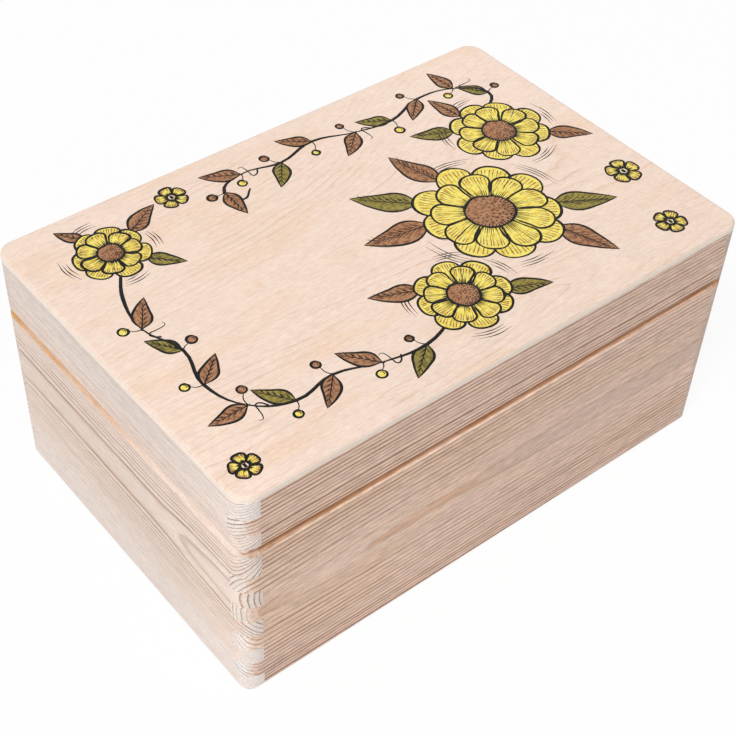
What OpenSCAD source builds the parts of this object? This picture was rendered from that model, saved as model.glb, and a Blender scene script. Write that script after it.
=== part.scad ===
// Hinged keepsake box: two finger-jointed pine frames, a plywood top and bottom, and two small
// butt hinges let into the rims at the back.
// Origin: middle of the underside. X runs left to right, -Y is the front, Z is up.

/* [Box] */
// Outside width, left to right
box_w = 300; // [220:1:400]
// Outside depth, front to back
box_d = 198; // [140:1:300]
// Height of the body's frame, from the underside to the seam
body_h = 100; // [60:0.5:160]
// Height of the lid's frame, from the seam to the top panel
lid_h = 32; // [22:0.5:60]
// Thickness of the pine boards
board_t = 10; // [9.5:0.5:14]
// Radius of the upright corners
corner_r = 9; // [4:0.5:9]
// Radius along the lower edge of each of the body's boards
bottom_round = 3; // [0.5:0.5:3]

/* [Joints] */
// Height of a full finger in the corner joints
finger_h = 10.4; // [6:0.1:16]
// Least height that a frame keeps for its finger next to the seam
seam_finger_min = 6; // [4:0.5:12]
// Depth of the V that is cut along the seam, and half its height
seam_vee = 2.8; // [2.2:0.1:3.4]

/* [Panels] */
// Thickness of the plywood top
top_t = 3.5; // [3:0.5:8]
// Radius that is run round the top panel's upper edge
top_round = 1.6; // [0.8:0.1:2.5]
// Thickness of the plywood bottom
bottom_t = 3; // [3:0.5:6]
// Height of the bottom panel above the boards' lower edges
bottom_recess = 0.6; // [0.2:0.1:2]
// Width of the rebate that the bottom panel lies in
rebate_w = 5; // [3:0.5:6]
// Radius of the rebate's corners
rebate_r = 5; // [3:0.5:8]
// Gap between the bottom panel's edge and the rebate
panel_gap = 0.15; // [0.05:0.05:0.5]

/* [Hinges] */
// Distance from the box's end to the middle of the nearer hinge
hinge_inset = 58; // [40:1:80]
// Length of the barrel
hinge_len = 30; // [20:1:40]
// Number of knuckles on the barrel
knuckles = 5; // [3:2:7]
// Thickness of a leaf, and of the wall of a knuckle
leaf_t = 0.8; // [0.6:0.05:0.9]
// Distance from the pin's axis to a leaf's inner edge
leaf_w = 7.4; // [6:0.1:7.5]
// Radius of a leaf's corners
leaf_r = 0.8; // [0.4:0.1:1.2]
// Radius of the pin
pin_r = 0.7; // [0.5:0.05:0.8]
// Thickness of the heads at the pin's ends
pin_head_t = 0.5; // [0.3:0.1:1]
// Distance that the pin's axis stands out from the bottom of the V
axis_out = 0.55; // [0.4:0.05:0.7]

/* [Screws] */
// Distance between a leaf's two screws
screw_pitch = 18; // [12:0.5:24]
// Length of a screw, its head included
screw_len = 9; // [6:0.5:12]
// Radius of a screw's shank
screw_r = 0.8; // [0.6:0.05:1]
// Radius of a screw's head
head_r = 1.5; // [1.3:0.05:1.6]

/* [Clearances] */
// Running clearance of the pin in the knuckles, on the radius
pin_gap = 0.05; // [0.02:0.01:0.1]
// Gap between neighbouring knuckles, and between a leaf and the other leaf's knuckles
knuckle_gap = 0.2; // [0.1:0.05:0.4]
// Depth of a leaf below its rim
leaf_sunk = 0.1; // [0.05:0.05:0.3]
// Gap between the barrel and the wood round it
mortise_gap = 0.25; // [0.15:0.05:0.5]
// Gap between a screw and its holes, on the radius
screw_gap = 0.08; // [0.04:0.02:0.2]

/* [Hidden] */
$fn = 96;
past = 1; // how far a cutting tool runs past the face that it cuts
frame_top = body_h + lid_h;
box_h = frame_top + top_t;
inset = board_t - rebate_w; // from the box's sides to the bottom panel's rebate
barrel_r = pin_r + pin_gap + leaf_t;
axis_y = box_d / 2 - seam_vee + axis_out;
hinge_x = box_w / 2 - hinge_inset;
knuckle_pitch = hinge_len / knuckles;
mortise_len = hinge_len + 2 * (pin_gap + pin_head_t + mortise_gap);
mortise_r = barrel_r + mortise_gap;
mortise_t = leaf_sunk + leaf_t;
plate_edge = barrel_r + knuckle_gap; // from the pin's axis to the plate of a leaf
screw_y = axis_y - (leaf_w + plate_edge) / 2;
head_h = head_r - screw_r;
tip_h = 2 * screw_r;
tip_r = 0.15 * screw_r;
cross_l = 1.2 * head_r;
cross_w = 0.2 * head_r;
cross_depth = 0.7 * head_h;

pine = "BurlyWood";
end_pine = "Wheat";
plywood = "NavajoWhite";
brass = "Gold";
steel = "Silver";

// Heights between the fingers of a frame, from its edge away from the seam. Full fingers go in pairs,
// so that the side boards hold both the first finger and the one next to the seam.
function finger_edges(frame_h) =
    let (full = 2 * floor((frame_h - seam_finger_min) / (2 * finger_h)))
    concat([for (i = [0 : full]) i * finger_h], [frame_h]);

// A rectangle with round corners, its sides moved in by inset
module rounded_plan(inset, r) {
    w = box_w - 2 * inset;
    d = box_d - 2 * inset;
    square([w - 2 * r, d], center = true);
    square([w, d - 2 * r], center = true);
    for (x = [-1, 1], y = [-1, 1]) translate([x * (w / 2 - r), y * (d / 2 - r)]) circle(r);
}

// Puts what lies along X, with its outer face on y = 0, on one side of the box:
// side 0 is the front, 1 the right, 2 the back and 3 the left
module on_side(side) {
    rotate(90 * side) translate([0, -(side % 2 == 0 ? box_d : box_w) / 2, 0]) children();
}

// The V along all four sides. It is straight, so it runs out to a point on the round corners.
module seam_groove() {
    for (side = [0 : 3]) on_side(side) translate([0, 0, body_h]) rotate([45, 0, 0])
        cube([max(box_w, box_d) + 2 * past, seam_vee * sqrt(2), seam_vee * sqrt(2)], center = true);
}

// The rounding along the bottom edge of all four sides, which is straight too and fades out on the corners
module bottom_rounding() {
    for (side = [0 : 3]) on_side(side) mirror([0, 0, 1])
        edge_waste(max(box_w, box_d) + 2 * past, bottom_round);
}

// The rebate for the bottom panel, or with a gap the panel itself
module bottom_pocket(low, gap) {
    translate([0, 0, low]) linear_extrude(bottom_recess + bottom_t - low) rounded_plan(inset + gap, rebate_r);
}

// A board that lies along X, with its outer face on y = 0 and its edge away from the seam on z = 0.
// It holds every second finger at both ends: the first and those after it if first is true.
module finger_board(run, frame_h, first) {
    edges = finger_edges(frame_h);
    last = len(edges) - 2;
    difference() {
        translate([-run / 2, 0, 0]) cube([run, board_t, frame_h]);
        for (i = [(first ? 1 : 0) : 2 : last]) {
            low = i == 0 ? -past : edges[i];
            high = i == last ? frame_h + past : edges[i + 1];
            for (end = [-1, 1]) translate([end * run / 2 - board_t, -past, low])
                cube([2 * board_t, board_t + 2 * past, high - low]);
        }
    }
}

// A board of either frame with its fingers cut, the corners rounded and the V run along the seam
module frame_board(side, frame_h) {
    across = side % 2 == 0;
    intersection() {
        on_side(side) finger_board(across ? box_w : box_d, frame_h, !across);
        linear_extrude(frame_h) rounded_plan(0, corner_r);
    }
}
module body_board(side) {
    difference() {
        frame_board(side, body_h);
        seam_groove();
        bottom_pocket(-past, 0);
        bottom_rounding();
    }
}
module lid_board(side) {
    difference() {
        translate([0, 0, frame_top]) mirror([0, 0, 1]) frame_board(side, lid_h);
        seam_groove();
    }
}

// The wood that a radius r leaves out of an edge along X between faces on y = 0 and z = 0
module edge_waste(run, r) {
    translate([run / 2, r, -r]) rotate([90, 0, -90]) linear_extrude(run) corner_waste(r);
}
module corner_waste(r) {
    difference() {
        square(r + past);
        circle(r);
    }
}

// Moves a shape from the pin's axis to one of the hinges, x = -1 at the left or 1 at the right.
// What is made for the body's rim is turned over for the lid's.
module at_hinge(x, for_lid = false) {
    translate([x * hinge_x, axis_y, body_h]) mirror([0, 0, for_lid ? 1 : 0]) children();
}
module at_screws() {
    for (x = [-1, 1]) translate([x * screw_pitch / 2, screw_y - axis_y, -leaf_sunk]) children();
}

// What is cut out of a rim for both hinges: beds for the leaf and the barrel, and pilot holes
module hinge_mortises(for_lid) {
    for (x = [-1, 1]) at_hinge(x, for_lid) {
        translate([-mortise_len / 2, -board_t - seam_vee, -mortise_t])
            cube([mortise_len, board_t + 2 * seam_vee, mortise_t + past]);
        translate([-mortise_len / 2, 0, 0]) rotate([0, 90, 0]) cylinder(r = mortise_r, h = mortise_len);
        at_screws() translate([0, 0, -screw_len - screw_gap])
            cylinder(r = screw_r + screw_gap, h = screw_len);
    }
}

// A countersunk screw with its head's face on z = 0, made larger by gap for its holes
module screw(gap) {
    translate([0, 0, -head_h]) cylinder(r1 = screw_r + gap, r2 = head_r + gap, h = head_h);
    translate([0, 0, tip_h - screw_len]) cylinder(r = screw_r + gap, h = screw_len - tip_h - head_h / 2);
    translate([0, 0, -screw_len]) cylinder(r1 = tip_r + gap, r2 = screw_r + gap, h = tip_h);
}
module cross_recess() {
    for (turn = [0, 90]) rotate(turn) translate([-cross_l / 2, -cross_w / 2, -cross_depth])
        cube([cross_l, cross_w, cross_depth + past]);
}
module screws(x, for_lid) {
    at_hinge(x, for_lid) at_screws() difference() {
        screw(0);
        cross_recess();
    }
}

// One leaf with its knuckles. The body's leaf has the outermost ones.
module leaf(x, for_lid) {
    at_hinge(x, for_lid) difference() {
        union() {
            translate([0, 0, -mortise_t]) linear_extrude(leaf_t) leaf_plan();
            for (k = [for_lid ? 1 : 0 : 2 : knuckles - 1]) {
                low = k * knuckle_pitch + (k == 0 ? 0 : knuckle_gap / 2);
                high = (k + 1) * knuckle_pitch - (k == knuckles - 1 ? 0 : knuckle_gap / 2);
                translate([low - hinge_len / 2, 0, 0]) {
                    rotate([0, 90, 0]) cylinder(r = barrel_r, h = high - low);
                    translate([0, -plate_edge - past, -mortise_t])
                        cube([high - low, plate_edge + past, leaf_t]);
                }
            }
        }
        translate([-hinge_len / 2 - past, 0, 0]) rotate([0, 90, 0])
            cylinder(r = pin_r + pin_gap, h = hinge_len + 2 * past);
        at_screws() screw(screw_gap);
    }
}
// Outline of a leaf's plate, with round corners at its inner edge
module leaf_plan() {
    translate([-hinge_len / 2, -leaf_w + leaf_r]) square([hinge_len, leaf_w - plate_edge - leaf_r]);
    translate([-hinge_len / 2 + leaf_r, -leaf_w]) square([hinge_len - 2 * leaf_r, leaf_r]);
    for (x = [-1, 1]) translate([x * (hinge_len / 2 - leaf_r), -leaf_w + leaf_r]) circle(leaf_r);
}
module pin(x) {
    at_hinge(x) rotate([0, 90, 0]) {
        cylinder(r = pin_r, h = hinge_len + 2 * (pin_gap + pin_head_t), center = true);
        for (end = [0, 1]) mirror([0, 0, end]) translate([0, 0, hinge_len / 2 + pin_gap])
            cylinder(r1 = barrel_r, r2 = pin_r, h = pin_head_t);
    }
}

module body_front_board() { color(pine) body_board(0); }
module body_right_board() { color(end_pine) body_board(1); }
module body_back_board() {
    color(pine) difference() {
        body_board(2);
        hinge_mortises(false);
    }
}
module body_left_board() { color(end_pine) body_board(3); }
module bottom_panel() { color(plywood) bottom_pocket(bottom_recess, panel_gap); }

module lid_front_board() { color(pine) lid_board(0); }
module lid_right_board() { color(end_pine) lid_board(1); }
module lid_back_board() {
    color(pine) difference() {
        lid_board(2);
        hinge_mortises(true);
    }
}
module lid_left_board() { color(end_pine) lid_board(3); }

module lid_top_panel() {
    color(plywood) difference() {
        translate([0, 0, frame_top]) linear_extrude(top_t) rounded_plan(0, corner_r);
        for (side = [0 : 3]) translate([0, 0, box_h]) on_side(side) {
            run = (side % 2 == 0 ? box_w : box_d) - 2 * corner_r;
            edge_waste(run, top_round);
            translate([run / 2, corner_r, -top_round]) rotate(-90)
                rotate_extrude(angle = 90) translate([corner_r - top_round, 0]) corner_waste(top_round);
        }
    }
}

module left_hinge_body_leaf() { color(brass) leaf(-1, false); }
module left_hinge_lid_leaf() { color(brass) leaf(-1, true); }
module left_hinge_pin() { color(steel) pin(-1); }
module left_hinge_body_screws() { color(brass) screws(-1, false); }
module left_hinge_lid_screws() { color(brass) screws(-1, true); }
module right_hinge_body_leaf() { color(brass) leaf(1, false); }
module right_hinge_lid_leaf() { color(brass) leaf(1, true); }
module right_hinge_pin() { color(steel) pin(1); }
module right_hinge_body_screws() { color(brass) screws(1, false); }
module right_hinge_lid_screws() { color(brass) screws(1, true); }

body_front_board();
body_back_board();
body_left_board();
body_right_board();
bottom_panel();
lid_front_board();
lid_back_board();
lid_left_board();
lid_right_board();
lid_top_panel();
left_hinge_body_leaf();
left_hinge_lid_leaf();
left_hinge_pin();
left_hinge_body_screws();
left_hinge_lid_screws();
right_hinge_body_leaf();
right_hinge_lid_leaf();
right_hinge_pin();
right_hinge_body_screws();
right_hinge_lid_screws();
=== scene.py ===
import math
import random

import bmesh
import bpy
from mathutils import Matrix, Vector


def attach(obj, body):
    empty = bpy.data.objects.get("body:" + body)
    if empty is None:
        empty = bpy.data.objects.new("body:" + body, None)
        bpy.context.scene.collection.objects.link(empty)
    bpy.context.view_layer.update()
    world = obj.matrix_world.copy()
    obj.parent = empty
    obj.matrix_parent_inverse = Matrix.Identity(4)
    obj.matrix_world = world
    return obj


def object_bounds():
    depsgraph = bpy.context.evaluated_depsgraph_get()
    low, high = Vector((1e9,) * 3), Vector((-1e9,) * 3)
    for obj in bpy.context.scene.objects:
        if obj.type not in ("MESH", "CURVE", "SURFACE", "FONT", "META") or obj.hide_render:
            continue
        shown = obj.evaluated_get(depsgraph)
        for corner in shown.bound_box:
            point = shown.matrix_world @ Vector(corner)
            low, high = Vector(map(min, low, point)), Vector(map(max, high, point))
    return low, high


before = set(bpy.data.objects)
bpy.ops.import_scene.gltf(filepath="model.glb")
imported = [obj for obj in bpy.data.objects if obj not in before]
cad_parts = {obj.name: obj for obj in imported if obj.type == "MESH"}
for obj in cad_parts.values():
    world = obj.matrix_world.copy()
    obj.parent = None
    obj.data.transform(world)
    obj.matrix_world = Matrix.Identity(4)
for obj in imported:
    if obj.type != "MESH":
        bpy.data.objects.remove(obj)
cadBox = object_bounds()
print("frame loaded:", len(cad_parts), "nodes")

mm = 0.001
inMm = (1000, 1000, 1000)  # scale from metres
# sizes in mm: the outside is read off the frame, and the rest is as in the part's source
boxWidth, boxDepth, boxHeight = [round(size / mm, 3) for size in cadBox[1] - cadBox[0]]
seamHeight = 100.0
veeDepth = 2.8
topThick = 3.5

scene = bpy.context.scene
scene.view_settings.view_transform = "Standard"


# Node helpers

def put(tree, kind, inputs=None, **settings):
    made = tree.nodes.new("ShaderNode" + kind)
    for key, value in settings.items():
        setattr(made, key, value)
    for key, value in (inputs or {}).items():
        if isinstance(value, bpy.types.NodeSocket):
            tree.links.new(value, made.inputs[key])
        else:
            made.inputs[key].default_value = value
    return made


def calc(tree, operation, *values, clamp=False):
    made = put(tree, "Math", dict(enumerate(values)), operation=operation, use_clamp=clamp)
    return made.outputs[0]


def vector(tree, operation, *values):
    made = put(tree, "VectorMath", dict(enumerate(values)), operation=operation)
    return made.outputs["Value" if operation in ("LENGTH", "DOT_PRODUCT") else "Vector"]


def spread(tree, value, low, high, outLow=0.0, outHigh=1.0, smooth=False):
    made = put(tree, "MapRange", {"Value": value, "From Min": low, "From Max": high,
                                  "To Min": outLow, "To Max": outHigh},
               interpolation_type="SMOOTHSTEP" if smooth else "LINEAR")
    return made.outputs["Result"]


def blend(tree, factor, first, second, mode="MIX"):
    made = put(tree, "Mix", {"Factor": factor}, data_type="RGBA", blend_type=mode)
    for socket, value in ((made.inputs[6], first), (made.inputs[7], second)):
        if isinstance(value, bpy.types.NodeSocket):
            tree.links.new(value, socket)
        else:
            socket.default_value = value
    return made.outputs[2]


def ramp(tree, value, stops):
    made = put(tree, "ValToRGB", {"Fac": value})
    marks = made.color_ramp.elements
    while len(marks) < len(stops):
        marks.new(0.5)
    for mark, (place, level) in zip(marks, stops):
        mark.position = place
        mark.color = (level, level, level, 1)
    return made.outputs["Color"]


def product(tree, first, *others):
    for other in others:
        first = calc(tree, "MULTIPLY", first, other)
    return first


def scaled(tree, colour, amount):
    return put(tree, "VectorMath", {0: colour, "Scale": amount}, operation="SCALE").outputs[0]


def noise(tree, place, scale, detail=2.0, roughness=0.5, output="Fac"):
    made = put(tree, "TexNoise", {"Vector": place, "Scale": scale, "Detail": detail, "Roughness": roughness})
    return made.outputs[output]


# noise drawn out along the grain, with waves of a length and a width
def grain(tree, place, long, wide, seed=0.0, detail=2.0, output="Fac"):
    drawnOut = put(tree, "Mapping", {"Vector": place, "Scale": (1 / long, 1 / wide, 1 / wide),
                                     "Location": (seed, seed / 2, 0)}).outputs[0]
    return noise(tree, drawnOut, 1.0, detail, output=output)


# the same, spread over the levels of a look
def layer(tree, place, look, seed=0.0):
    made = grain(tree, place, *look["waves"], look.get("seed", seed), look.get("detail", 2.0))
    return spread(tree, made, *look["levels"])


# a random value for each whole year
def perYear(tree, year, seed=0.0):
    whole = calc(tree, "ADD", calc(tree, "FLOOR", year), seed)
    return put(tree, "TexWhiteNoise", {"W": whole}, noise_dimensions="1D").outputs["Value"]


# sRGB 0 to 255, as a colour picker shows it, to a linear colour
def rgb(red, green, blue):
    def linear(level):
        level = level / 255
        return level / 12.92 if level <= 0.04045 else ((level + 0.055) / 1.055) ** 2.4
    return (linear(red), linear(green), linear(blue), 1)


def newMaterial(name, roughness, specular, metallic=0.0):
    material = bpy.data.materials.new(name)
    material.use_nodes = True
    tree = material.node_tree
    shader = tree.nodes["Principled BSDF"]
    shader.inputs["Roughness"].default_value = roughness
    shader.inputs["Specular IOR Level"].default_value = specular
    shader.inputs["Metallic"].default_value = metallic
    return material, tree, shader


def addBump(tree, shader, height, distance, strength):
    made = put(tree, "Bump", {"Height": height, "Distance": distance, "Strength": strength})
    tree.links.new(made.outputs["Normal"], shader.inputs["Normal"])


# Camera, at the photograph's viewing angle

cameraLook = {
    "place": (-0.3617, -0.4139, 0.5810),  # metres
    "azimuth": -39.65,  # degrees round Z, 0 looks along +Y
    "elevation": 45.92,
    "roll": 1.91,
    "lens": 72.1,  # mm on a 36 mm sensor
    "shift": (0.0393, 0.0581),
}


def addCamera(look):
    data = bpy.data.cameras.new("camera")
    data.lens = look["lens"]
    data.shift_x, data.shift_y = look["shift"]
    camera = bpy.data.objects.new("camera", data)
    scene.collection.objects.link(camera)
    azimuth, elevation = math.radians(look["azimuth"]), math.radians(look["elevation"])
    back = Vector((math.sin(azimuth) * math.cos(elevation),
                   -math.cos(azimuth) * math.cos(elevation), math.sin(elevation)))
    turn = (-back).to_track_quat("-Z", "Y").to_matrix().to_4x4()
    camera.matrix_world = (Matrix.Translation(look["place"]) @ turn
                           @ Matrix.Rotation(math.radians(look["roll"]), 4, "Z"))
    scene.camera = camera


addCamera(cameraLook)


# Lights, floor and white surroundings

# distances and sizes in metres
lightRig = {
    "key": {"toward": (-0.6, -0.235, 0.77), "distance": 8, "size": 2.15, "watts": 407,
            "colour": (1, 0.99, 0.975)},
    "front": {"toward": (0.25, -0.85, 0.35), "distance": 2.2, "size": 1.6, "watts": 3.8,
              "colour": (1, 0.92, 0.84)},
}
surroundings = {
    "sky": 0.46,  # brightness of the surroundings as light, while they are seen as plain white
    "floorSize": 8.0,
    "floorDrop": 0.1,  # mm below the box, so that the two don't share a plane
    "floorPaint": 0.5,  # grey, as the light meets it
    "floorGlow": 1.08,  # brightness as it is seen
    "floorLift": 0.85,  # share of that in what is seen
}


def addLamp(name, look):
    data = bpy.data.lights.new(name, "AREA")
    data.shape = "DISK"
    data.size = look["size"]
    data.energy = look["watts"]
    data.color = look["colour"]
    lamp = bpy.data.objects.new(name, data)
    scene.collection.objects.link(lamp)
    toward = Vector(look["toward"]).normalized()
    lamp.location = toward * look["distance"]
    lamp.rotation_mode = "QUATERNION"
    lamp.rotation_quaternion = (-toward).to_track_quat("-Z", "Y")


# 1 where the camera looks, straight or by way of a gloss, and 0 for the light that falls on the box
def seenDirectly(tree):
    rays = put(tree, "LightPath").outputs
    other = calc(tree, "MAXIMUM", rays["Is Glossy Ray"], rays["Is Transmission Ray"])
    return calc(tree, "MAXIMUM", rays["Is Camera Ray"], other)


def addWorld(look):
    world = bpy.data.worlds.new("studio")
    scene.world = world
    world.use_nodes = True
    tree = world.node_tree
    tree.nodes.clear()
    lit = put(tree, "Background", {"Color": (1, 1, 1, 1), "Strength": look["sky"]})
    seen = put(tree, "Background", {"Color": (1, 1, 1, 1), "Strength": 1.0})
    mixed = put(tree, "MixShader", {0: seenDirectly(tree), 1: lit.outputs[0], 2: seen.outputs[0]})
    put(tree, "OutputWorld", {"Surface": mixed.outputs[0]})


def addFloor(look):
    mesh = bpy.data.meshes.new("floor")
    flat = bmesh.new()
    bmesh.ops.create_grid(flat, x_segments=1, y_segments=1, size=look["floorSize"] / 2,
                          matrix=Matrix.Translation((0, 0, -look["floorDrop"] * mm)))
    flat.to_mesh(mesh)
    flat.free()
    floor = bpy.data.objects.new("floor", mesh)
    scene.collection.objects.link(floor)
    material = bpy.data.materials.new("white_floor")
    material.use_nodes = True
    tree = material.node_tree
    tree.nodes.clear()
    grey = look["floorPaint"]
    paint = put(tree, "BsdfDiffuse", {"Color": (grey, grey, grey, 1)})
    glow = put(tree, "Emission", {"Color": (1, 1, 1, 1), "Strength": look["floorGlow"]})
    share = calc(tree, "MULTIPLY", seenDirectly(tree), look["floorLift"])
    mixed = put(tree, "MixShader", {0: share, 1: paint.outputs[0], 2: glow.outputs[0]})
    put(tree, "OutputMaterial", {"Surface": mixed.outputs[0]})
    mesh.materials.append(material)


for name, look in lightRig.items():
    addLamp(name, look)
addWorld(surroundings)
addFloor(surroundings)
print("camera, lights and floor made")


# Pine: growth rings about a pith line beside each board, so that the face grain, the end grain on the
# fingers and the bands round the corners all belong to one piece of wood. Lid and body share their rings,
# because the lid was sawn off the glued-up box. Lengths are in mm.

everywhere = (-400, -300)  # a range that ends before any board begins, so that its end value holds all over

# the notes beside the front board's values hold for all four
frontPine = {
    "along": "x",
    "pith": (-125.0, 57.5),  # across the box, and up
    # from and to along the board, and how far the rings move away from the pith and up
    "bends": ((-172, -50, -1.85, 0), (-40, 60, -0.75, 0), (-60, 160, 0, 1.8)),
    "edge": 24.45,  # radius of one known ring
    "ring": 2.24,  # width of a year outside it
    "core": 1.52,  # and inside it
    "early": 1.3,  # years that are added just outside it
    "seed": 2.0,
    "strength": (24, 50, 0.5, 1.4),  # from and to in radius, and how dark the late wood is at both
    "vivid": (-110, 20, 1.25, 1.0),  # the same along the board
    "calm": everywhere,  # heights between which the figure sets in
    "run": (-90, 60, 1.04, 0.955),  # from and to along the board, and the tone at both
    # height, half width, change of tone, and from and to along the board where it sets in
    "strips": ((33, 12, 0.05, *everywhere), (57, 10, -0.12, -30, 20)),
    "pale": rgb(242, 213, 196), "warm": rgb(238, 208, 185), "sap": rgb(242, 213, 195),
    "ember": rgb(208, 152, 110), "late": rgb(156, 104, 74),
    "heart": (26, 30),  # radii between which the late wood turns from the first of these to the second
    "fibre": (0.80, 1.19),  # tone of the darkest and the lightest fibres
    "endPale": rgb(250, 236, 226), "endLow": rgb(255, 249, 246), "endLate": rgb(160, 130, 112),
    # the char colour stands for charring and painted shade deep in the V, and for the painted shadow line at
    # the seam
    "amber": rgb(234, 195, 163), "charShadeColour": rgb(190, 130, 80),
    "charShadeAlong": (-90, -10, 0.45, 0.9),  # from and to along the board, and how charred and darkened by painted shade the V is at both
    "veeShade": 0.95,  # tone of the V, a painted shade in the groove
    "rind": (0.5, 1.3),  # depths between which the V's colour sets in
    "fade": everywhere,  # from and to along the board where it sets in
}

leftPine = {
    "along": "y", "pith": (-120.0, 68.5), "bends": ((-115, -10, 1.7, 0), (-62, -36, 0.8, 0)),
    "edge": 33.85, "ring": 1.55, "core": 2.34, "early": 0.25, "seed": 5.0,
    "strength": (36, 60, 1.15, 0.85), "vivid": (40, 95, 1.0, 0.7), "calm": (27.5, 45.5),
    "run": (-98, -28, 1.11, 1.0), "strips": (),
    "pale": rgb(245, 226, 215), "warm": rgb(242, 222, 208), "sap": rgb(245, 231, 223),
    "ember": rgb(206, 158, 118), "late": rgb(180, 142, 120), "heart": (29.5, 31), "fibre": (0.89, 1.10),
    "endPale": rgb(239, 224, 214), "endLow": rgb(243, 234, 229), "endLate": rgb(138, 116, 104),
    "amber": rgb(217, 164, 108), "charShadeColour": rgb(186, 124, 76), "charShadeAlong": (*everywhere, 0.1, 0.1),
    "veeShade": 0.9, "rind": everywhere, "fade": (-55, 72),
}

# what the back and the right board have in common, which the photograph doesn't show
hiddenPine = {
    "vivid": (*everywhere, 1.0, 1.0), "calm": everywhere, "run": (*everywhere, 1.0, 1.0),
    "sap": rgb(243, 221, 207), "fibre": (0.84, 1.15),
    "amber": rgb(232, 190, 148), "charShadeColour": rgb(186, 124, 76), "charShadeAlong": (*everywhere, 0.4, 0.4),
    "veeShade": 0.92, "rind": everywhere,
}

backPine = {
    **hiddenPine, "along": "x", "pith": (124.0, 79.5), "bends": ((-60, 150, 4.0, 0),),
    "edge": 22.0, "ring": 2.1, "core": 2.0, "early": 0.8, "seed": 11.0, "strength": (25, 45, 0.5, 1.0),
    "strips": ((40, 14, 0.04, *everywhere),), "heart": (26, 32), "fade": (-147, -138),
    "pale": rgb(241, 216, 200), "warm": rgb(236, 208, 186),
    "ember": rgb(202, 150, 108), "late": rgb(164, 124, 100),
    "endPale": rgb(236, 218, 206), "endLow": rgb(244, 232, 224), "endLate": rgb(140, 120, 108),
}

rightPine = {
    **hiddenPine, "along": "y", "pith": (187.0, 31.5), "bends": ((-60, 120, -3.0, 0),),
    "edge": 38.0, "ring": 1.9, "core": 1.8, "early": 0.6, "seed": 17.0, "strength": (38, 60, 0.7, 1.0),
    "strips": ((90, 16, 0.03, *everywhere),), "heart": (38, 42), "fade": everywhere,
    "pale": rgb(241, 218, 204), "warm": rgb(237, 212, 192),
    "ember": rgb(204, 156, 116), "late": rgb(170, 132, 112),
    "endPale": rgb(226, 204, 190), "endLow": rgb(226, 204, 190), "endLate": rgb(116, 98, 90),
}

# what all four boards share
pineShared = {
    "roughness": 0.6, "specular": 0.25,
    "drifts": ((110, 45, 0.9), (20, 7, 0.3)),  # waves in the rings: length, width and how far they move
    "earlyDepth": 5,  # how far outside the known ring the early years reach
    "uneven": (3, 12, 0.6),  # from and to outside that ring, and by how many years the others stray
    "growth": 0.2,  # waves of that for each mm
    # how dark the wood is in the course of a year
    "year": [(0.0, 0.3), (0.06, 0.0), (0.5, 0.04), (0.74, 0.25), (0.84, 0.8), (0.92, 1.0), (1.0, 0.9)],
    "yearly": (0.5, 1.15),  # strength of the weakest and the strongest year
    # noise with the length and width of its waves, and the levels that it is spread over
    "patches": {"waves": (90, 14), "levels": (0.35, 0.65, 0.7, 1.0)},
    "breaks": {"waves": (24, 0.9), "levels": (0.3, 0.7, 0.6, 1.25), "detail": 1.0},
    "warmth": {"waves": (120, 26), "levels": (0.4, 0.65), "detail": 1.5},
    "resin": {"waves": (40, 3), "levels": (0.3, 0.6, 0.5, 1.0), "detail": 3.0},
    "slow": {"waves": (160, 30), "levels": (0.3, 0.7, 0.96, 1.03), "detail": 1.5},
    "calmest": 0.25,  # strength of the figure where it is calm
    "endGrain": (0.3, 0.9),  # from and to in how squarely a surface faces along the board
    "endFade": (0.05, 0.6),  # the same for the figure, which is weaker near the bottom
    "endWeak": 0.5,
    "low": (58, 14), "high": (110, 126),  # heights between which the end grain turns pale
    "sapwood": (46, 64),  # radii between which it sets in
    "fibres": (6, 0.8), "fibreLevels": (0.3, 0.7),  # length and width, and from and to in the noise
    "speckle": (0.3, 0.7, 0.91, 1.09),  # from and to in the noise, and the tone at both
    "relief": 0.06, "reliefStrength": 0.6,
    "lateDip": -0.6, "fibreRise": 0.5,  # shares of both in the relief
}
seamLooks = {
    "margin": 0.04,  # mm that the V's colour stays off its edges, so that it doesn't bleed onto the faces
    "charShadeDepth": (0.7, 1.7),  # depths between which charring and painted shade set in
    "weakest": 0.12,  # where the colour fades out along a board
    # from and to round the corners, towards front and back, and how charred and darkened by painted shade the
    # V is there at least
    "corner": (1, 4, 0, 0.85),
    "line": (0.3, 0.8, 0.8, 0),  # from and to away from the seam, and how dark its painted shadow line is
    "wall": (0.75, 0.9, 1, 0),  # from upright surfaces, which show that line, to level ones, which don't
}


# x along the board, y away from the pith and z up from it, in mm
def boardFrame(tree, place, look):
    across, up = look["pith"]
    turn, offset = (0, across) if look["along"] == "x" else (-90, -across)
    return put(tree, "Mapping", {"Vector": place, "Scale": inMm, "Rotation": (0, 0, math.radians(turn)),
                                 "Location": (0, -offset, -up)}).outputs[0]


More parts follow.
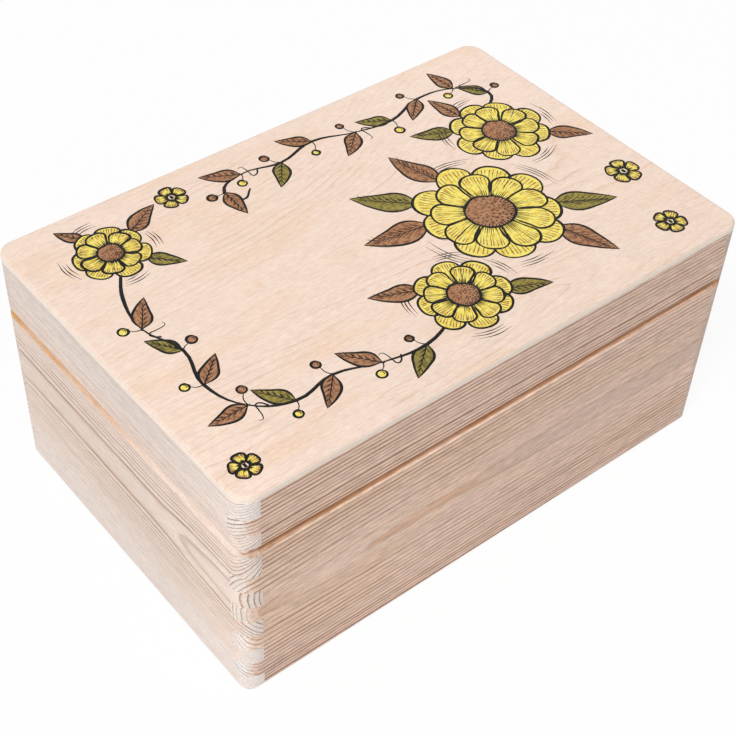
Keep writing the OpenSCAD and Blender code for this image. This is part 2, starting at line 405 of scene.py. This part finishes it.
def pineRings(tree, look, own, length):
    placed = own
    for start, stop, across, up in look["bends"]:
        sag = spread(tree, length, start, stop, smooth=True)
        sag = put(tree, "CombineXYZ", {1: sag, 2: sag}).outputs[0]
        placed = vector(tree, "MULTIPLY_ADD", sag, (0, across, up), placed)
    for long, wide, amount in pineShared["drifts"]:
        drift = grain(tree, own, long, wide, look["seed"], detail=1.5, output="Color")
        drift = vector(tree, "SUBTRACT", drift, (0.5, 0.5, 0.5))
        placed = vector(tree, "MULTIPLY_ADD", drift, (amount, amount, amount), placed)
    radius = vector(tree, "LENGTH", vector(tree, "MULTIPLY", placed, (0, 1, 1)))
    # years are counted from one known ring, with other widths inside and outside it and a few narrow ones
    # just outside
    past = calc(tree, "SUBTRACT", radius, look["edge"])
    outer = calc(tree, "DIVIDE", calc(tree, "MAXIMUM", past, 0.0), look["ring"])
    early = spread(tree, past, 0, pineShared["earlyDepth"], 0, look["early"], smooth=True)
    inner = calc(tree, "DIVIDE", calc(tree, "MINIMUM", past, 0.0), look["core"])
    year = calc(tree, "ADD", calc(tree, "ADD", outer, early), inner)
    wave = calc(tree, "MULTIPLY_ADD", radius, pineShared["growth"], look["seed"])
    growth = put(tree, "TexNoise", {"W": wave, "Scale": 1.0, "Detail": 1.5}, noise_dimensions="1D")
    start, stop, amount = pineShared["uneven"]
    uneven = spread(tree, past, start, stop, 0, amount)
    year = calc(tree, "MULTIPLY_ADD", calc(tree, "SUBTRACT", growth.outputs["Fac"], 0.5), uneven, year)
    return radius, year


# how dark the late wood shows, from 0 to 1
def pineLate(tree, look, own, wood):
    calm = spread(tree, wood["standing"], *look["calm"], pineShared["calmest"], 1.0, smooth=True)
    turned = spread(tree, wood["facing"], *pineShared["endFade"], smooth=True)
    turned = calc(tree, "MULTIPLY", wood["low"], turned)
    shown = product(
        tree,
        calc(tree, "MAXIMUM", calm, wood["cut"]),
        spread(tree, wood["radius"], *look["strength"]),
        spread(tree, perYear(tree, wood["year"], look["seed"] + 0.5), 0, 1, *pineShared["yearly"]),
        layer(tree, own, pineShared["patches"]),
        layer(tree, own, pineShared["breaks"]),
        spread(tree, wood["length"], *look["vivid"], smooth=True),
        spread(tree, turned, 0, 1, 1, pineShared["endWeak"]),
    )
    late = ramp(tree, calc(tree, "FRACT", wood["year"]), pineShared["year"])
    return calc(tree, "MULTIPLY", late, shown, clamp=True)


# resin and the cutter's heat leave the V amber; deeper in the V and round the corners it is darkened with
# char and painted shade, the whole V is toned down as painted shade, and a thin painted shadow line marks the
# seam, but not on the rims
def addSeam(tree, look, own, wood, place, normal, colour, pale):
    xyz = put(tree, "SeparateXYZ", {0: place}).outputs
    insetX, insetY = [calc(tree, "MULTIPLY_ADD", calc(tree, "ABSOLUTE", xyz[axis]), -1 / mm, size / 2)
                      for axis, size in (("X", boxWidth), ("Y", boxDepth))]
    inset = calc(tree, "MINIMUM", insetX, insetY)
    level = calc(tree, "ABSOLUTE", calc(tree, "MULTIPLY_ADD", xyz["Z"], 1 / mm, -seamHeight))
    within = product(
        tree,
        calc(tree, "GREATER_THAN", inset, seamLooks["margin"]),
        calc(tree, "LESS_THAN", inset, veeDepth),
        calc(tree, "LESS_THAN", level, veeDepth - seamLooks["margin"]),
        spread(tree, inset, *look["rind"]),
    )
    corner = spread(tree, calc(tree, "SUBTRACT", insetX, insetY), *seamLooks["corner"], smooth=True)
    fade = spread(tree, wood["length"], *look["fade"], seamLooks["weakest"], 1.0, smooth=True)
    fade = calc(tree, "MAXIMUM", fade, corner)
    # char and painted shade, deeper in the V, along the board and round the corners
    charredAndShaded = calc(tree, "MULTIPLY", spread(tree, inset, *seamLooks["charShadeDepth"], smooth=True),
                 spread(tree, wood["length"], *look["charShadeAlong"]))
    charredAndShaded = calc(tree, "MAXIMUM", charredAndShaded, corner)
    heat = layer(tree, own, pineShared["resin"])
    amber = blend(tree, charredAndShaded, look["amber"], look["charShadeColour"])
    amber = blend(tree, calc(tree, "MULTIPLY", heat, fade), pale, amber)
    # the whole V toned down as painted shade
    colour = blend(tree, within, colour, scaled(tree, amber, look["veeShade"]))
    upright = spread(tree, calc(tree, "ABSOLUTE", normal["Z"]), *seamLooks["wall"])
    # a thin painted shadow line along the seam, on upright surfaces
    line = calc(tree, "MULTIPLY", spread(tree, level, *seamLooks["line"]), upright)
    return blend(tree, line, colour, look["charShadeColour"])


# fibres, fine speckle and slow changes of tone
def pineTone(tree, look, own, wood, fibres):
    speckle = noise(tree, own, 1.0, detail=2.0, roughness=0.7)
    tone = product(
        tree,
        spread(tree, fibres, *pineShared["fibreLevels"], *look["fibre"]),
        spread(tree, speckle, *pineShared["speckle"]),
        layer(tree, own, pineShared["slow"], look["seed"]),
        spread(tree, wood["length"], *look["run"], smooth=True),
    )
    # a strip has its full tone in the inner 0.4 of its width
    for middle, half, amount, start, stop in look["strips"]:
        away = calc(tree, "ABSOLUTE", calc(tree, "SUBTRACT", wood["standing"], middle))
        share = calc(tree, "MULTIPLY", spread(tree, away, 0.4 * half, half, amount, 0, smooth=True),
                     spread(tree, wood["length"], start, stop, smooth=True))
        tone = calc(tree, "MULTIPLY_ADD", tone, share, tone)
    return tone


def pineMaterial(side, look):
    material, tree, shader = newMaterial("pine_" + side, pineShared["roughness"], pineShared["specular"])
    spot = put(tree, "TexCoord").outputs
    own = boardFrame(tree, spot["Object"], look)
    length, _, height = put(tree, "SeparateXYZ", {0: own}).outputs
    radius, year = pineRings(tree, look, own, length)
    standing = calc(tree, "ADD", height, look["pith"][1])
    # end grain shows where the surface faces along the board, and is paler towards the bottom and the top
    normal = put(tree, "SeparateXYZ", {0: spot["Normal"]}).outputs
    facing = calc(tree, "ABSOLUTE", normal[look["along"].upper()])
    cut = spread(tree, facing, *pineShared["endGrain"], smooth=True)
    low = spread(tree, standing, *pineShared["low"], smooth=True)
    wood = {"length": length, "standing": standing, "radius": radius, "year": year,
            "facing": facing, "cut": cut, "low": low}
    late = pineLate(tree, look, own, wood)
    pale = blend(tree, layer(tree, own, pineShared["warmth"], look["seed"] + 3), look["pale"], look["warm"])
    pale = blend(tree, spread(tree, radius, *pineShared["sapwood"], smooth=True), pale, look["sap"])
    dark = blend(tree, spread(tree, radius, *look["heart"], smooth=True), look["ember"], look["late"])
    ends = calc(tree, "MAXIMUM", low, spread(tree, standing, *pineShared["high"], smooth=True))
    endPale = blend(tree, ends, look["endPale"], look["endLow"])
    colour = blend(tree, late, blend(tree, cut, pale, endPale), blend(tree, cut, dark, look["endLate"]))
    colour = addSeam(tree, look, own, wood, spot["Object"], normal, colour, pale)
    fibres = grain(tree, own, *pineShared["fibres"], detail=3.0)
    colour = scaled(tree, colour, pineTone(tree, look, own, wood, fibres))
    tree.links.new(colour, shader.inputs["Base Color"])
    relief = calc(tree, "MULTIPLY", fibres, pineShared["fibreRise"])
    relief = calc(tree, "MULTIPLY_ADD", late, pineShared["lateDip"], relief)
    addBump(tree, shader, relief, pineShared["relief"] * mm, pineShared["reliefStrength"])
    return material


pineLooks = {"front": frontPine, "left": leftPine, "back": backPine, "right": rightPine}
for side, look in pineLooks.items():
    pine = pineMaterial(side, look)
    for half in ("body", "lid"):
        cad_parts[f"{half}_{side}_board"].data.materials[0] = pine
print("pine boards finished")


# Plywood: rotary-cut birch, whose rings make flames along a line near the front and climb towards the right

plyLook = {
    "roughness": 0.5, "specular": 0.3,
    "flame": -81.0,  # Y of that line
    "nose": 3.0,  # how blunt the flames are
    "lean": 0.03,  # how far the rings climb for each mm in X
    "sweep": (-40, 150, 14.0),  # from and to in X, and how much farther they climb between
    "flip": (-60, 60, 1.0, -3.0),  # from and to in Y, and how much of the climb counts at both
    "warp": ((60, 22, 9.0), (14, 5, 2.2), (4, 1.5, 0.7)),  # length and width of waves, and how far they move
    "ring": 3.8,  # width of a year
    # how dark the wood is in the course of a year
    "year": [(0.0, 0.25), (0.07, 0.0), (0.6, 0.04), (0.87, 0.4), (0.95, 1.0), (1.0, 0.9)],
    "yearly": (0.25, 1.0),  # strength of the weakest and the strongest year
    "patches": {"waves": (45, 16), "levels": (0.4, 0.7, 0.12, 1.0), "seed": 9.0},
    "warmth": {"waves": (60, 18), "levels": (0.5, 0.75), "seed": 7.0, "detail": 2.5},
    "clouds": {"waves": (14, 5), "levels": (0.3, 0.7, 0.97, 1.03), "seed": 13.0},
    "flecks": (4, 0.6),  # their length and width
    "fleckColour": (0.93, 0.86, 0.79, 1), "fleckLevels": (0.4, 0.75), "fleckTone": (0.3, 0.6, 1.03, 0.99),
    "face": rgb(248, 226, 212), "late": rgb(224, 188, 160), "warm": rgb(246, 219, 197),
    "edge": rgb(255, 242, 230), "core": rgb(252, 234, 219),  # outer plies and the middle one, on the edges
    # from upright surfaces to level ones: where the plies show, and where the rounded rim begins and ends
    "upright": (0.3, 0.6, 1, 0), "rimStart": (0.1, 0.6, 0, 1), "rimStop": (0.8, 1, 1, 0),
    "rim": 0.92,  # tone of that rim
    # x from and to, y from and to, and how much lighter the wood gets there
    "zones": ((0, 110, -20, 60, 0.035), (-100, -40, -30, -90, -0.022), (-105, -145, 60, -90, 0.035)),
    "relief": 0.02, "reliefStrength": 0.5,
}
# mm to another part of the veneer for the bottom panel, and up to the heights where the top's plies are
bottomShift = (30, 20, 131.5)


# the panel's own colour as a socket, because the inks on it let the figure through
def plyColour(tree, look, shift=(0, 0, 0)):
    spot = put(tree, "TexCoord").outputs
    own = put(tree, "Mapping", {"Vector": spot["Object"], "Scale": inMm, "Location": shift}).outputs[0]
    x, y, z = put(tree, "SeparateXYZ", {0: own}).outputs
    apart = calc(tree, "SUBTRACT", y, look["flame"])
    apart = calc(tree, "SQRT", calc(tree, "MULTIPLY_ADD", apart, apart, look["nose"] ** 2))
    start, stop, amount = look["sweep"]
    sweep = calc(tree, "MULTIPLY_ADD", x, look["lean"], spread(tree, x, start, stop, 0, amount, smooth=True))
    field = calc(tree, "MULTIPLY_ADD", sweep, spread(tree, y, *look["flip"], smooth=True), apart)
    for long, wide, amount in look["warp"]:
        drift = grain(tree, own, long, wide, seed=4.0, detail=1.5)
        field = calc(tree, "MULTIPLY_ADD", calc(tree, "SUBTRACT", drift, 0.5), amount, field)
    year = calc(tree, "DIVIDE", field, look["ring"])
    late = product(
        tree,
        ramp(tree, calc(tree, "FRACT", year), look["year"]),
        spread(tree, perYear(tree, year), 0, 1, *look["yearly"]),
        layer(tree, own, look["patches"]),
    )
    colour = blend(tree, layer(tree, own, look["warmth"]), look["face"], look["warm"])
    colour = blend(tree, late, colour, look["late"])
    fleck = grain(tree, own, *look["flecks"])
    flecked = spread(tree, fleck, *look["fleckLevels"])
    colour = blend(tree, flecked, colour, look["fleckColour"], "MULTIPLY")
    tone = spread(tree, fleck, *look["fleckTone"])
    tone = calc(tree, "MULTIPLY", tone, layer(tree, own, look["clouds"]))
    for startX, stopX, startY, stopY, amount in look["zones"]:
        share = calc(tree, "MULTIPLY", spread(tree, x, startX, stopX, 0, amount, smooth=True),
                     spread(tree, y, startY, stopY, smooth=True))
        tone = calc(tree, "MULTIPLY_ADD", tone, share, tone)
    # the three plies show on the edges
    ply = topThick / 3
    lift = calc(tree, "SUBTRACT", z, boxHeight - topThick + ply / 2)
    core = calc(tree, "LESS_THAN", calc(tree, "ABSOLUTE", calc(tree, "SUBTRACT", lift, ply)), ply / 2)
    level = calc(tree, "ABSOLUTE", put(tree, "SeparateXYZ", {0: spot["Normal"]}).outputs[2])
    upright = spread(tree, level, *look["upright"])
    colour = blend(tree, upright, colour, blend(tree, core, look["edge"], look["core"]))
    # the rounded rim between them and the face is a little darker
    rim = product(tree, spread(tree, level, *look["rimStart"]), spread(tree, level, *look["rimStop"]))
    tone = calc(tree, "MULTIPLY", tone, spread(tree, rim, 0, 1, 1, look["rim"]))
    return scaled(tree, colour, tone), fleck


def plyMaterial(name, look, shift=(0, 0, 0)):
    material, tree, shader = newMaterial(name, look["roughness"], look["specular"])
    colour, fleck = plyColour(tree, look, shift)
    tree.links.new(colour, shader.inputs["Base Color"])
    addBump(tree, shader, fleck, look["relief"] * mm, look["reliefStrength"])
    return material


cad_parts["lid_top_panel"].data.materials[0] = plyMaterial("birch_top", plyLook)
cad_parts["bottom_panel"].data.materials[0] = plyMaterial("birch_bottom", plyLook, bottomShift)
print("plywood finished")


# Printed garland: flat inks with pen lines over them. Shapes are drawn in mm on the lid, and each level lies
# a few microns above the one before, so that petals cover leaves and centres cover petals.

printLook = {
    "seed": 8,
    "floor": boxHeight - 0.03,  # height of the inks' underside
    "base": boxHeight,
    "hair": 0.009,  # step between levels
    "penDepth": 0.006,  # thickness of a pen line
    "merge": 0.0005,  # points nearer than this become one
    "steps": 5,  # straight pieces between two points of a line
    "bold": 0.58, "fine": 0.18,  # half widths of a line
    # x, y, radius, petals in a ring, turn
    "blooms": [(56, -20, 37, 9, 10), (5, -58, 24, 8, 30), (105, 27, 26, 8, 0), (-108, 63, 19, 7, 15)],
    "blossoms": [(132, -36, 9, 5, 0), (-62, 81, 8, 5, 20), (121, -78, 8, 5, 40), (-136, -83, 7, 5, 10)],
    # x, y of the stalk's foot, direction, length, ink
    "leaves": [
        (74, -47, -62, 33, "ink_brown"), (85, -33, -22, 33, "ink_green"), (26, -10, 163, 36, "ink_brown"),
        (32, 5, 130, 34, "ink_green"), (52, 12, 98, 32, "ink_brown"), (22, -66, -32, 24, "ink_green"),
        (-8, -44, 150, 26, "ink_brown"), (124, 12, -48, 24, "ink_brown"), (86, 40, 148, 24, "ink_green"),
        (97, 48, 108, 22, "ink_brown"), (-93, 70, 22, 24, "ink_brown"), (-97, 51, -38, 20, "ink_green"),
        (-113, 78, 118, 16, "ink_brown"),
    ],
    "vines": [
        [(-8, -66), (-30, -73), (-53, -70), (-75, -63), (-97, -66), (-115, -56), (-123, -35), (-118, -12),
         (-125, 10), (-121, 32), (-111, 50)],
        [(112, 44), (124, 56), (111, 70), (89, 74), (66, 67), (44, 70), (21, 77), (-2, 72), (-24, 76),
         (-39, 69), (-35, 59), (-27, 64)],
    ],
}
inkLooks = {
    "ink_green": {"light": rgb(158, 146, 74), "deep": rgb(112, 100, 48)},
    "ink_brown": {"light": rgb(184, 136, 102), "deep": rgb(132, 88, 60)},
    "ink_yellow": {"light": rgb(253, 240, 128), "deep": rgb(238, 208, 82)},
    "ink_dark": {"light": rgb(15, 13, 13), "deep": rgb(9, 8, 8)},
}
inkShared = {
    "roughness": 0.5, "specular": 0.2,
    "streaks": 420.0, "streakLevels": (0.4, 0.7),  # light and deep patches, a few millimetres wide
    "relief": 0.015, "reliefStrength": 0.4,
}
chance = random.Random(printLook["seed"])
drawn = []


def newDrawing(ink, bottom, top, pen=0):
    curve = bpy.data.curves.new("drawn", "CURVE")
    held = bpy.data.objects.new("drawn", curve)
    scene.collection.objects.link(held)
    drawn.append((held, ink, bottom, top))
    if pen:
        curve.dimensions = "3D"
        curve.twist_mode = "Z_UP"
        curve.bevel_depth = pen
        curve.bevel_resolution = 0
        curve.use_fill_caps = True
    else:
        curve.dimensions = "2D"
        curve.fill_mode = "BOTH"
        curve.extrude = 1  # any depth, because it is flattened later
    return curve


def addSpline(curve, points, widths=None, closed=False, sharp=()):
    spline = curve.splines.new("BEZIER")
    spline.bezier_points.add(len(points) - 1)
    spline.use_cyclic_u = closed
    spline.resolution_u = printLook["steps"]
    for index, (knot, place) in enumerate(zip(spline.bezier_points, points)):
        knot.co = (*place, 0)
        knot.handle_left_type = knot.handle_right_type = "VECTOR" if index in sharp else "AUTO"
        knot.radius = widths[index] if widths else 1


def height(level):
    return printLook["base"] + printLook["hair"] * (level + 1)


def fill(ink, points, level, sharp=()):
    curve = newDrawing(ink, printLook["floor"], height(level))
    addSpline(curve, points, closed=True, sharp=sharp)


# one curve holds every pen line of a level and thickness
pens = {}


def line(points, widths, level, pen="fine", ink="ink_dark", sharp=()):
    key = (ink, level, pen)
    if key not in pens:
        middle = height(level + 0.5)
        half = printLook["penDepth"] / 2
        pens[key] = newDrawing(ink, middle - half, middle + half, printLook[pen])
    addSpline(pens[key], points, widths, sharp=sharp)


# points given along and across a direction, as points on the lid
def place(x, y, angle, points):
    turn = math.radians(angle)
    return [(x + along * math.cos(turn) - across * math.sin(turn),
             y + along * math.sin(turn) + across * math.cos(turn)) for along, across in points]


def shaken(points, amount):
    return [(x + chance.uniform(-amount, amount), y + chance.uniform(-amount, amount)) for x, y in points]


def penWidths(count):
    return [0.35] + [chance.uniform(0.75, 1.3) for _ in range(count - 2)] + [0.3]


def drawPetal(x, y, angle, start, reach, width, level):
    long = reach - start
    lean = chance.uniform(-0.06, 0.06) * long
    rim = [(start, 0.36 * width), (start + 0.4 * long, 0.78 * width), (start + 0.76 * long, width + lean),
           (reach, 0.1 * width + lean), (start + 0.8 * long, -0.95 * width + lean),
           (start + 0.4 * long, -0.78 * width), (start, -0.36 * width)]
    rim = shaken(place(x, y, angle, rim), 0.012 * reach)
    fill("ink_yellow", rim, level)
    line(rim, penWidths(7), level, "bold")
    line(shaken(rim, 0.022 * reach), penWidths(7), level)
    # dark shading runs up from the centre, and brown streaks run down from the tip
    shades, streaks = 11, 8
    for step in range(shades):
        off = step - (shades - 1) / 2
        side = off / 6 * width
        top = start + long * chance.uniform(0.3, 0.7) * (1 - 0.4 * abs(off) / 5)
        path = [(start * 0.9, 0.42 * side), ((start + top) / 2, 0.72 * side), (top, 0.9 * side + 0.4 * lean)]
        line(place(x, y, angle, path), [1.8, 1.2, 0.2], level)
    for step in range(streaks):
        side = (step - (streaks - 1) / 2) / 4.6 * width + chance.uniform(-0.3, 0.3)
        foot = reach - long * (0.1 + 0.13 * (side / width) ** 2)
        path = [(foot, side + lean), (foot - long * chance.uniform(0.15, 0.5), 0.85 * side)]
        line(place(x, y, angle, path), [1.7, 0.3], level, ink="ink_brown")


def drawCentre(x, y, radius, level):
    rim = [(radius * chance.uniform(0.94, 1.06), 0) for _ in range(12)]
    rim = [place(x, y, step * 30, [point])[0] for step, point in enumerate(rim)]
    fill("ink_brown", rim, level)
    closing = rim + rim[:2]
    line(closing, penWidths(14), level, "bold")
    line(shaken(closing, 0.06 * radius), penWidths(14), level)
    # seeds on a spiral, thicker towards the shaded side, and short strokes in from the rim
    seeds, strokes, goldenAngle = 60, 40, 137.5
    for step in range(seeds):
        away = radius * 0.86 * math.sqrt((step + 0.5) / seeds)
        angle = step * goldenAngle
        dot = place(x, y, angle, [(away, 0), (away + 0.07 * radius, 0.03 * radius)])
        size = 1.9 + 1.6 * math.cos(math.radians(angle + 60)) * away / radius
        line(dot, [size, size * 0.8], level)
    for step in range(strokes):
        angle = step * 360 / strokes
        shade = 0.6 + 0.4 * math.cos(math.radians(angle + 60))
        deep = radius * (1 - chance.uniform(0.2, 0.42) * shade)
        line(place(x, y, angle, [(radius, 0), (deep, 0)]), [2.0 * shade + 0.5, 0.3], level)


def drawBloom(x, y, radius, petals, turn):
    # reach and width of the petals in the outer and in the inner ring
    for ring, (reach, width) in enumerate(((1.0, 2.3 / petals), (0.82, 1.85 / petals))):
        for step in range(petals):
            angle = turn + 360 / petals * (step + ring / 2) + chance.uniform(-3, 3)
            drawPetal(x, y, angle, 0.26 * radius, radius * reach * chance.uniform(0.94, 1.03),
                      width * radius, 2 + ring + 0.3 * (step % 2))
    drawCentre(x, y, 0.33 * radius, 4.3)


def drawBlossom(x, y, radius, petals, turn):
    for step in range(petals):
        angle = turn + 360 / petals * step
        drawPetal(x, y, angle, 0.22 * radius, radius, 0.42 * radius, 2 + 0.3 * (step % 2))
    dot = place(x, y, 0, [(-0.1 * radius, 0), (0.1 * radius, 0)])
    line(dot, [2.2, 2.2], 3, "bold")


def drawLeaf(x, y, angle, length, ink):
    width = 0.21 * length
    bend = chance.choice((-0.12, 0.12)) * length
    rim = [(0, 0), (0.3 * length, width + 0.4 * bend), (0.66 * length, 0.72 * width + 0.8 * bend),
           (length, bend), (0.66 * length, -0.62 * width + 0.8 * bend), (0.3 * length, -width + 0.4 * bend)]
    rim = place(x, y, angle, rim)
    level = 1 if ink == "ink_brown" else 0
    fill(ink, rim, level, sharp=(0, 3))
    line(rim + rim[:1], [0.4, 1.2, 1.0, 0.5, 0.9, 1.1, 0.3], level, "bold", sharp=(0, 3, 6))
    line(shaken(rim, 0.018 * length), [0.5, 1.1, 0.9, 0.4, 0.9, 0.3], level, sharp=(0, 3))
    rib = [(-0.05 * length, 0), (0.3 * length, 0.35 * bend), (0.62 * length, 0.72 * bend),
           (0.93 * length, 0.97 * bend)]
    line(place(x, y, angle, rib), [2.0, 1.6, 1.2, 0.3], level)
    veins = max(4, round(length / 4))
    for step in range(veins):
        foot = (0.12 + 0.72 * step / veins) * length
        middle = 1.12 * bend * foot / length
        half = 0.8 * width * (1 - 0.55 * foot / length)
        for side in (-1, 1):
            path = [(foot, middle), (foot + 0.11 * length, middle + side * 0.45 * half),
                    (foot + 0.17 * length, middle + side * half * chance.uniform(0.75, 0.95))]
            line(place(x, y, angle, path), [1.0, 0.9, 0.3], level)
        # shade on one half only
        for shift in (0.03, 0.07):
            path = [(foot + shift * length, middle - 0.1 * half),
                    (foot + (shift + 0.08) * length, middle - chance.uniform(0.5, 0.85) * half)]
            line(place(x, y, angle, path), [1.2, 0.3], level)


def drawBerry(x, y, angle, stalk, ink):
    line(place(x, y, angle, [(0, 0), (0.5 * stalk, 0.12 * stalk), (stalk, 0)]), [1.8, 1.5, 1.2], 0)
    size = chance.uniform(1.9, 2.5)
    centre = place(x, y, angle, [(stalk + size, 0)])[0]
    rim = [place(*centre, step * 60, [(size, 0)])[0] for step in range(6)]
    fill(ink, rim, 1)
    line(rim + rim[:2], penWidths(8), 1, "bold")
    shade = [(0.1 * size, -0.5 * size), (0.55 * size, -0.1 * size), (0.4 * size, 0.4 * size)]
    line(place(*centre, 40, shade), [1.2, 1.4, 0.6], 1)


def drawVine(points):
    line(points, [1.25 + 0.55 * math.sin(2.2 * step) for step in range(len(points))], 0, "bold")
    for step in range(1, len(points) - 2):
        (x, y), before, after = points[step], points[step - 1], points[step + 1]
        heading = math.degrees(math.atan2(after[1] - before[1], after[0] - before[0]))
        side = 1 if step % 2 else -1
        ink = ("ink_brown", "ink_green", "ink_brown")[step % 3]
        drawLeaf(x, y, heading + side * chance.uniform(38, 52), chance.uniform(18, 22), ink)
        drawBerry(x, y, heading - side * chance.uniform(55, 75), chance.uniform(5, 8),
                  ("ink_yellow", "ink_brown")[step % 2])
        # a tendril between two leaves
        if step % 3 == 1:
            curl = [(2 + 1.6 * turn, side * (6 - 0.55 * turn) * math.sin(turn * 0.9)) for turn in range(7)]
            line(place((x + after[0]) / 2, (y + after[1]) / 2, heading - side * 24, curl),
                 [2.6, 2.4, 2.2, 1.8, 1.5, 1.2, 0.6], 0)


# loose arcs beside a bloom, as a quick hand leaves them
def drawFlicks(x, y, radius):
    for group in range(4):
        middle = group * 90 + chance.uniform(-25, 25)
        for step in range(3):
            reach = radius + 2.2 + 1.7 * step
            half = chance.uniform(10, 20)
            skew = chance.uniform(-5, 5)
            arc = [place(x, y, middle + skew + turn * half, [(reach - 0.5 * turn, 0)])[0]
                   for turn in (-1, 0, 1)]
            line(arc, [0.3, 1.7, 0.3], 0)


def inkMaterial(name, look):
    material, tree, shader = newMaterial(name, inkShared["roughness"], inkShared["specular"])
    wood, fleck = plyColour(tree, plyLook)
    spot = put(tree, "TexCoord").outputs["Object"]
    streaks = noise(tree, spot, inkShared["streaks"], detail=3.0)
    streaks = spread(tree, streaks, *inkShared["streakLevels"], smooth=True)
    ink = blend(tree, streaks, look["light"], look["deep"])
    # the wood's figure shows through, so the ink colour is taken over the plain face's
    bare = tuple(1 / level for level in plyLook["face"][:3])
    stained = vector(tree, "MULTIPLY", vector(tree, "MULTIPLY", wood, bare), ink)
    tree.links.new(stained, shader.inputs["Base Color"])
    addBump(tree, shader, fleck, inkShared["relief"] * mm, inkShared["reliefStrength"])
    return material


for vine in printLook["vines"]:
    drawVine(vine)
for leaf in printLook["leaves"]:
    drawLeaf(*leaf)
for bloom in printLook["blooms"]:
    drawBloom(*bloom)
    drawFlicks(*bloom[:3])
for blossom in printLook["blossoms"]:
    drawBlossom(*blossom)

# each ink becomes one mesh of closed shapes, every one flattened between its own two heights
depsgraph = bpy.context.evaluated_depsgraph_get()
for ink, look in inkLooks.items():
    joined = bmesh.new()
    for held, own, bottom, top in drawn:
        if own != ink:
            continue
        mesh = bpy.data.meshes.new_from_object(held.evaluated_get(depsgraph))
        low = min(vertex.co.z for vertex in mesh.vertices)
        high = max(vertex.co.z for vertex in mesh.vertices)
        flatten = Matrix.Scale((top - bottom) / (high - low), 4, (0, 0, 1)) @ Matrix.Translation((0, 0, -low))
        mesh.transform(Matrix.Scale(mm, 4) @ Matrix.Translation((0, 0, bottom)) @ flatten)
        joined.from_mesh(mesh)
        bpy.data.meshes.remove(mesh)
    bmesh.ops.remove_doubles(joined, verts=joined.verts, dist=printLook["merge"] * mm)
    bmesh.ops.recalc_face_normals(joined, faces=joined.faces)
    mesh = bpy.data.meshes.new(ink)
    joined.to_mesh(mesh)
    joined.free()
    mesh.materials.append(inkMaterial(ink, look))
    printed = bpy.data.objects.new(ink, mesh)
    scene.collection.objects.link(printed)
    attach(printed, "lid")
for held, *_ in drawn:
    bpy.data.curves.remove(held.data)
print("garland printed")


# Hinges: brass leaves and screws, steel pins

metalLooks = {
    "satin_brass": {"colour": rgb(222, 192, 132), "roughness": 0.35},
    "drawn_steel": {"colour": rgb(196, 194, 188), "roughness": 0.3},
}
# spots about a millimetre wide, and how they change the tone
wear = {"scale": 900.0, "levels": (0.3, 0.7, 0.8, 1.1)}


def metalMaterial(name, look):
    material, tree, shader = newMaterial(name, look["roughness"], specular=0.5, metallic=1.0)
    spot = put(tree, "TexCoord").outputs["Object"]
    worn = spread(tree, noise(tree, spot, wear["scale"], detail=3.0), *wear["levels"])
    tree.links.new(scaled(tree, look["colour"][:3], worn), shader.inputs["Base Color"])
    return material


metals = {name: metalMaterial(name, look) for name, look in metalLooks.items()}
for name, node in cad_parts.items():
    if "hinge" in name:
        node.data.materials[0] = metals["drawn_steel" if name.endswith("pin") else "satin_brass"]
print("hinges finished")
